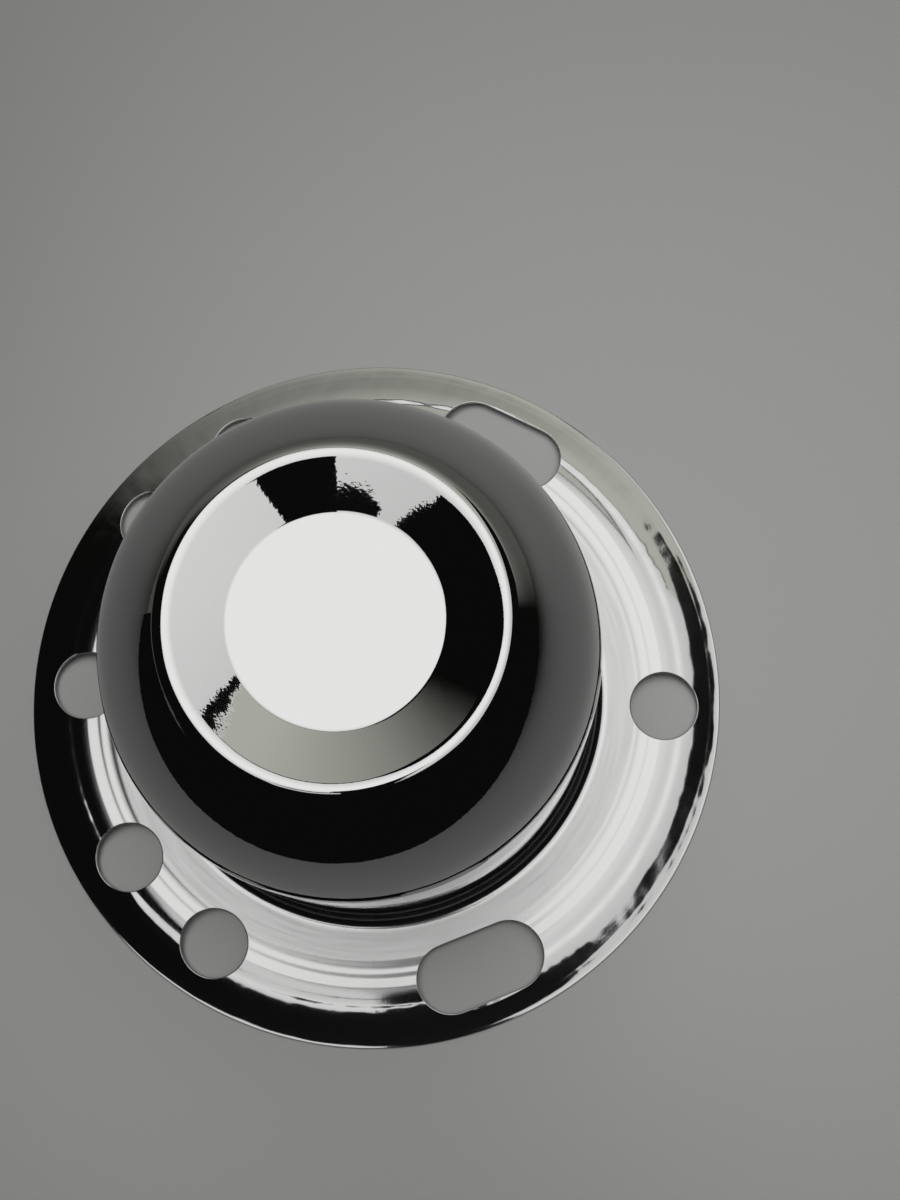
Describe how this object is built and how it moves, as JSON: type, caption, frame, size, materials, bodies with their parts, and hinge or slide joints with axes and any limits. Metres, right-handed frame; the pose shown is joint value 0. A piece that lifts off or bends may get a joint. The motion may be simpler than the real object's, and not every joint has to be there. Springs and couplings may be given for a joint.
{
  "type": "wheel center cap",
  "caption": "Deep-drawn chrome center cap for a wheel, with a closed barrel, a sunk disc in its nose and a flange pierced for wheel studs.",
  "frame": {"origin": "on the cap's axis, at the height of the rim's underside, where the cap stands", "axes": "+Z along the barrel towards the closed nose; +X through the stud hole that the five-stud and the six-stud pattern share"},
  "size_m": [0.1668, 0.1668, 0.1064],
  "materials": {
    "chrome_plate": "bright chrome plate, mirror on the nose, satin on the clamping ring of the flange"
  },
  "bodies": {
    "root": {"center_cap": "chrome_plate"}
  },
  "joints": []
}
